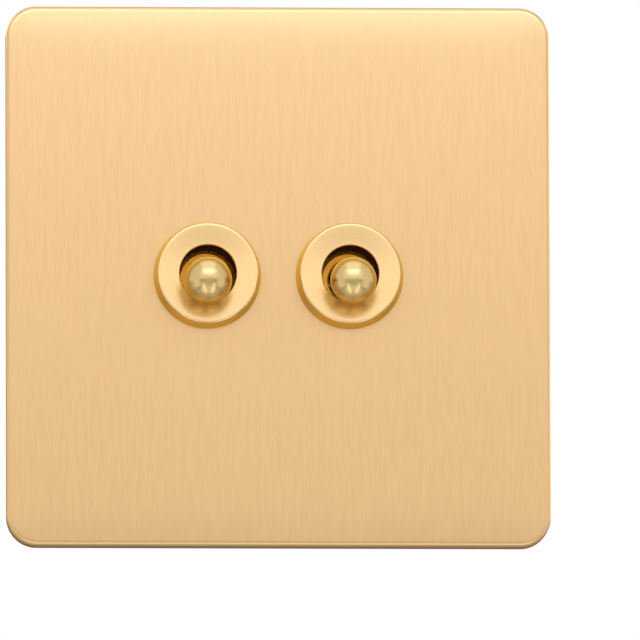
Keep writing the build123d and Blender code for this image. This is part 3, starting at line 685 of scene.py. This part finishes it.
def turned_brass(name, base, roughness, gloss, thread_start=None):
    """Lathe-turned brass: fine rings along the profile, gloss spread along it. Past thread_start
    along the profile it is painted a dark brown: painted shade for the threads inside the hole."""
    lathe_lines, line_depth = (12000.0, 0.0, 0.0), 0.0000015
    # Painted shade: the near-black brown of the threads inside the hole
    thread_shade_brown = (0.085, 0.027, 0.011, 1.0)
    material, tree, shader = new_material(name, 1.0)
    surface = add(tree, "ShaderNodeUVMap", {"uv_map": "surface"}, {}).outputs[0]
    lines = use_group(tree, "fine_lines", {"Vector": surface, "Lines": lathe_lines})
    shade = two_tone(tree, shader, base, 0.09, lines["Tone"])
    vary_roughness(tree, shader, roughness - 0.03, roughness + 0.05, lines["Tone"])
    emboss(tree, shader, lines["Height"], line_depth)
    stretch_gloss(tree, shader, gloss)
    warm_edge(shader, (0.88, 0.82, 0.4))
    if thread_start is not None:
        # Painted shade on the threads, past thread_start along the profile
        along = add(tree, "ShaderNodeSeparateXYZ", {}, {"Vector": surface}).outputs["X"]
        threaded = calculate(tree, "GREATER_THAN", along, thread_start)
        mix_base(tree, shader, shade, thread_shade_brown, threaded)
    return material


def machined_metal(name, base, roughness, grain=(2400.0, 2400.0, 2400.0)):
    """Metal straight from the tool: fine marks, a cloudy tone and edges rubbed bright."""
    mark_share, cloud_share, rubbed_share = 0.4, 0.6, 0.5
    edge, mark_depth = 0.00012, 0.000004
    material, tree, shader = new_material(name, 1.0)
    place = object_place(tree)
    lines = use_group(tree, "fine_lines", {"Vector": place, "Lines": grain})
    skin = use_group(tree, "grain_skin", {"Vector": place, "Grain": 9000.0, "Cloud": 260.0})
    edges = use_group(tree, "soft_edges", {"Radius": edge})
    cloudy = calculate(tree, "MULTIPLY", skin["Tone"], cloud_share)
    tone = calculate(tree, "MULTIPLY_ADD", lines["Tone"], mark_share, cloudy)
    worn = calculate(tree, "MULTIPLY_ADD", edges["Mask"], rubbed_share, tone)
    two_tone(tree, shader, base, 0.16, worn)
    vary_roughness(tree, shader, roughness - 0.06, roughness + 0.08, skin["Tone"])
    emboss(tree, shader, lines["Height"], mark_depth, edges["Normal"])
    return material


def moulded_plastic(name, base, roughness, grain):
    """Moulded plastic: eroded skin, slight clouding and softened, slightly paler edges."""
    edge, edge_share, skin_depth = 0.0002, 0.25, 0.000012
    material, tree, shader = new_material(name, 0.0)
    skin = use_group(
        tree, "grain_skin", {"Vector": object_place(tree), "Grain": grain, "Cloud": 180.0}
    )
    edges = use_group(tree, "soft_edges", {"Radius": edge})
    tone = calculate(tree, "MULTIPLY_ADD", edges["Mask"], edge_share, skin["Tone"])
    two_tone(tree, shader, base, 0.08, tone)
    vary_roughness(tree, shader, roughness - 0.05, roughness + 0.07, skin["Tone"])
    emboss(tree, shader, skin["Height"], skin_depth, edges["Normal"])
    return material


def finish_nodes(material, *names):
    """Give CAD nodes a material."""
    for name in names:
        shown = frame["nodes"][name].data.materials
        shown.clear()
        shown.append(material)


def both(*pieces):
    """Names of left and right pieces."""
    return [f"{name}_{piece}" for name in gangs for piece in pieces]


class SWITCH_OT_shared_effects(bpy.types.Operator):
    """Make the shader groups that the finishes share"""

    bl_idname = "switch.shared_effects"
    bl_label = "Shared effects"

    def execute(self, context):
        make_line_group()
        make_skin_group()
        make_edge_group()
        return {"FINISHED"}


class SWITCH_OT_face_plate(bpy.types.Operator):
    """Make the brushed face plate"""

    bl_idname = "switch.face_plate"
    bl_label = "Face plate"

    def execute(self, context):
        settings = context.scene.toggle_switch
        material = brushed_brass("plate_brass", settings.finish.plate)
        add_piece(
            "brushed_plate",
            plate_grids(settings.plate),
            "switch_body",
            ["face_plate"],
            material,
        )
        return {"FINISHED"}


class SWITCH_OT_bezel_rings(bpy.types.Operator):
    """Make the two turned bezel rings"""

    bl_idname = "switch.bezel_rings"
    bl_label = "Bezel rings"

    def execute(self, context):
        settings = context.scene.toggle_switch
        sizes = settings.ring
        # The head's profile is no longer than the sum of its steps, and the thread comes after it
        head_length = sizes.lip + ring_radius - sizes.hole + ring_out - plate_out
        material = turned_brass("ring_brass", settings.finish.ring, 0.15, 0.75, head_length)
        for name, side in gangs.items():
            add_piece(
                f"{name}_turned_ring",
                ring_grids(sizes, side),
                "switch_body",
                [f"{name}_bezel_ring"],
                material,
            )
        return {"FINISHED"}


class SWITCH_OT_levers(bpy.types.Operator):
    """Make the two ball-ended levers"""

    bl_idname = "switch.levers"
    bl_label = "Levers"

    def execute(self, context):
        settings = context.scene.toggle_switch
        material = turned_brass("lever_brass", settings.finish.lever, 0.2, 0.8)
        for name in gangs:
            add_piece(
                f"{name}_turned_lever",
                lever_grids(settings.lever, name),
                f"{name}_toggle",
                [f"{name}_lever"],
                material,
            )
        return {"FINISHED"}


class SWITCH_OT_springs(bpy.types.Operator):
    """Make the two coil springs, which ride on the toggles"""

    bl_idname = "switch.springs"
    bl_label = "Springs"

    def execute(self, context):
        settings = context.scene.toggle_switch
        sizes, start = settings.spring, settings.lever.bore_start
        material = machined_metal("spring_wire", settings.finish.pin, 0.3)
        for name in gangs:
            pivot, along = lever_line(name)
            spring = add_piece(
                f"{name}_coil_spring",
                spring_grids(sizes, start, pivot, along),
                f"{name}_toggle",
                [f"{name}_spring"],
                material,
            )
            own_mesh(spring)
        return {"FINISHED"}


class SWITCH_OT_metalwork(bpy.types.Operator):
    """Finish the pressed, turned and riveted metal pieces"""

    bl_idname = "switch.metalwork"
    bl_label = "Metalwork"

    def execute(self, context):
        finish = context.scene.toggle_switch.finish
        bush = machined_metal("bush_brass", finish.bush, 0.62)
        terminal = machined_metal("terminal_brass", finish.terminal, 0.34)
        zinc = machined_metal("yoke_zinc", finish.zinc, 0.38, (700.0, 2600.0, 2600.0))
        # Painted shade: near-black nuts and washers for the shade deep behind the rings, on top of
        # their blackened steel
        dark = machined_metal("dark_steel", finish.dark, 0.5)
        cover = machined_metal("cover_zinc", finish.cover, 0.4, (2600.0, 2600.0, 500.0))
        screw = machined_metal("screw_steel", finish.screw, 0.32)
        pin = machined_metal("pin_steel", finish.pin, 0.26)
        copper = machined_metal("rocker_copper", finish.copper, 0.32)
        silver = machined_metal("contact_silver", finish.silver, 0.24)
        finish_nodes(bush, *both("bush"))
        finish_nodes(terminal, "earth_clamp", "earth_screw", *both("bezel_nut", "common_bracket"))
        finish_nodes(terminal, *both("upper_terminal", "common_terminal", "lower_terminal"))
        finish_nodes(zinc, "mounting_yoke")
        # Painted shade on the bush nuts and lock washers, which sit deep in the holes
        finish_nodes(dark, *both("lock_washer", "bush_nut"))
        finish_nodes(cover, *both("cover"))
        finish_nodes(screw, *both("terminal_screws"))
        finish_nodes(pin, *both("pivot_pin", "rocker_pin"))
        finish_nodes(copper, *both("rocker"))
        finish_nodes(silver, *both("moving_contacts", "fixed_contacts"))
        return {"FINISHED"}


class SWITCH_OT_mouldings(bpy.types.Operator):
    """Finish the moulded pieces"""

    bl_idname = "switch.mouldings"
    bl_label = "Mouldings"

    def execute(self, context):
        finish = context.scene.toggle_switch.finish
        finish_nodes(moulded_plastic("liner_plastic", finish.liner, 0.5, 6000.0), "plate_liner")
        finish_nodes(moulded_plastic("base_plastic", finish.base, 0.42, 7000.0), *both("base"))
        finish_nodes(moulded_plastic("plunger_nylon", finish.nylon, 0.35, 5000.0), *both("plunger"))
        return {"FINISHED"}


def soft_lamp(name, place, target, size, power, tint):
    """A soft lamp of a width and height at a place, turned to a target. The camera doesn't see it."""
    lamp = bpy.data.lights.new(name, "AREA")
    lamp.shape = "RECTANGLE"
    lamp.size, lamp.size_y = size
    lamp.energy = power
    lamp.color = tint
    holder = bpy.data.objects.new(name, lamp)
    holder.location = place
    holder.rotation_euler = (Vector(target) - Vector(place)).to_track_quat("-Z", "Y").to_euler()
    holder.visible_camera = False
    bpy.context.scene.collection.objects.link(holder)


def studio_lamps():
    """Soft panels and boxes round the part, two of them with a cool daylight tint. A small warm lamp
    behind each ring's lip stands for light that is bounced about inside the hole."""
    plain, daylight, warm = (1.0, 1.0, 1.0), (0.42, 0.7, 1.0), (1.0, 0.7, 0.4)
    middle, upper = (0.0, 0.0, 0.0), (0.0, 0.0, 0.03)
    glow_depth, glow_size = 0.0009, (0.009, 0.009)
    soft_lamp("front_panel", (0.0, -0.3, 0.15), upper, (0.6, 0.12), 0.088, plain)
    soft_lamp("middle_panel", (0.0, -0.3, 0.055), middle, (0.6, 0.07), 0.032, plain)
    soft_lamp("edge_strip", (0.0, -0.084, 0.075), upper, (0.16, 0.03), 0.0135, daylight)
    soft_lamp("key_box", (0.0, -0.45, 0.31), middle, (0.5, 0.2), 0.6, daylight)
    soft_lamp("low_panel", (0.0, -0.22, -0.32), middle, (0.5, 0.3), 0.2, plain)
    for name, side in gangs.items():
        strip, low_box = (side * 0.159, -0.276, -0.318), (side * 0.431, -0.201, -0.155)
        hole = (side * ring_middle, ring_low.y + glow_depth, 0.0)
        collar = (side * ring_middle, 0.0, 0.0)
        soft_lamp(f"{name}_strip", strip, middle, (0.05, 0.42), 0.095, plain)
        soft_lamp(f"{name}_low_box", low_box, middle, (0.36, 0.27), 0.14, plain)
        soft_lamp(f"{name}_hole_glow", hole, collar, glow_size, 0.0004, warm)
    soft_lamp("overhead_box", (0.0, -0.2, 0.9), middle, (0.9, 0.6), 0.8, plain)
    soft_lamp("back_left_box", (-0.7, 0.8, 0.5), middle, (0.6, 0.6), 3.5, plain)
    soft_lamp("back_right_box", (0.8, 0.6, 0.3), middle, (0.5, 0.6), 2.0, plain)


def white_world(scene):
    """White for what the camera and reflections see, and a softer level for all other light."""
    soft = 0.7
    world = bpy.data.worlds.new("studio")
    world.use_nodes = True
    scene.world = world
    tree = world.node_tree
    path = tree.nodes.new("ShaderNodeLightPath").outputs
    seen = calculate(tree, "MAXIMUM", path["Is Camera Ray"], path["Is Glossy Ray"])
    seen = calculate(tree, "MAXIMUM", seen, path["Is Transmission Ray"])
    limits = {"Value": seen, "To Min": soft, "To Max": 1.0}
    level = add(tree, "ShaderNodeMapRange", {}, limits).outputs[0]
    background = tree.nodes["Background"]
    background.inputs["Color"].default_value = (1.0, 1.0, 1.0, 1.0)
    tree.links.new(level, background.inputs["Strength"])


def pale_floor(drop):
    """A wide flat floor, see-through from below, with a plain pale finish."""
    half, pale, dull = 50.0, (0.86, 0.86, 0.86, 1.0), 0.9
    mesh = bpy.data.meshes.new("floor")
    corners = [(-half, -half, -drop), (half, -half, -drop), (half, half, -drop), (-half, half, -drop)]
    mesh.from_pydata(corners, [], [(0, 1, 2, 3)])
    material, tree, shader = new_material("floor_paint", 0.0)
    shader.inputs["Base Color"].default_value = pale
    shader.inputs["Roughness"].default_value = dull
    below = tree.nodes.new("ShaderNodeNewGeometry").outputs["Backfacing"]
    clear = tree.nodes.new("ShaderNodeBsdfTransparent").outputs[0]
    mix = add(tree, "ShaderNodeMixShader", {}, {0: below, 1: shader.outputs[0], 2: clear})
    tree.links.new(mix.outputs[0], tree.nodes["Material Output"].inputs["Surface"])
    mesh.materials.append(material)
    floor = bpy.data.objects.new("floor", mesh)
    bpy.context.scene.collection.objects.link(floor)


def photo_camera(scene, settings):
    """A far camera at the photograph's angle, aimed so that the plate's middle falls on its pixel."""
    millimetres = 1000.0
    turn, rise = settings.azimuth, settings.elevation
    back = Vector((np.sin(turn) * np.cos(rise), -np.cos(turn) * np.cos(rise), np.sin(rise)))
    right = back.cross(Vector((0.0, 0.0, -1.0))).normalized()
    up = back.cross(right)
    across = (settings.picture / 2 - settings.middle_x) / settings.scale
    down = (settings.picture / 2 - settings.middle_y) / settings.scale
    aim = Vector((0.0, -plate_out, 0.0)) + across * right - down * up
    lens = bpy.data.cameras.new("photo_camera")
    lens.sensor_width = millimetres * settings.sensor
    lens.lens = lens.sensor_width * settings.scale * settings.distance / settings.picture
    camera = bpy.data.objects.new("photo_camera", lens)
    camera.location = aim + settings.distance * back
    aimed = (-back).to_track_quat("-Z", "Y")
    camera.rotation_euler = (aimed @ Quaternion((0.0, 0.0, 1.0), settings.roll)).to_euler()
    scene.collection.objects.link(camera)
    scene.camera = camera


class SWITCH_OT_stage(bpy.types.Operator):
    """Set the camera, lamps, world and floor"""

    bl_idname = "switch.stage"
    bl_label = "Stage"

    def execute(self, context):
        scene = context.scene
        settings = scene.toggle_switch.stage
        scene.view_settings.view_transform = "Standard"
        photo_camera(scene, settings)
        white_world(scene)
        pale_floor(settings.floor_drop)
        studio_lamps()
        return {"FINISHED"}


operators = (
    SWITCH_OT_shared_effects,
    SWITCH_OT_face_plate,
    SWITCH_OT_bezel_rings,
    SWITCH_OT_levers,
    SWITCH_OT_springs,
    SWITCH_OT_metalwork,
    SWITCH_OT_mouldings,
    SWITCH_OT_stage,
)


class SWITCH_PT_pieces(bpy.types.Panel):
    """Lists the operators that make the switch"""

    bl_idname = "SWITCH_PT_pieces"
    bl_label = "Toggle switch"
    bl_space_type = "VIEW_3D"
    bl_region_type = "UI"
    bl_category = "Switch"

    def draw(self, context):
        for operator in operators:
            self.layout.operator(operator.bl_idname)


classes = (
    PlateSizes,
    RingSizes,
    LeverSizes,
    SpringSizes,
    Finishes,
    StageSettings,
    SwitchSettings,
    *operators,
    SWITCH_PT_pieces,
)


def register():
    """Register the classes and hang the settings on the scene."""
    for part in classes:
        bpy.utils.register_class(part)
    bpy.types.Scene.toggle_switch = bpy.props.PointerProperty(type=SwitchSettings)


def unregister():
    """Take the settings and classes away again."""
    del bpy.types.Scene.toggle_switch
    for part in reversed(classes):
        bpy.utils.unregister_class(part)


def main():
    """Make every piece and the stage."""
    register()
    for operator in operators:
        family, name = operator.bl_idname.split(".")
        getattr(getattr(bpy.ops, family), name)()


if __name__ == "__main__":
    main()
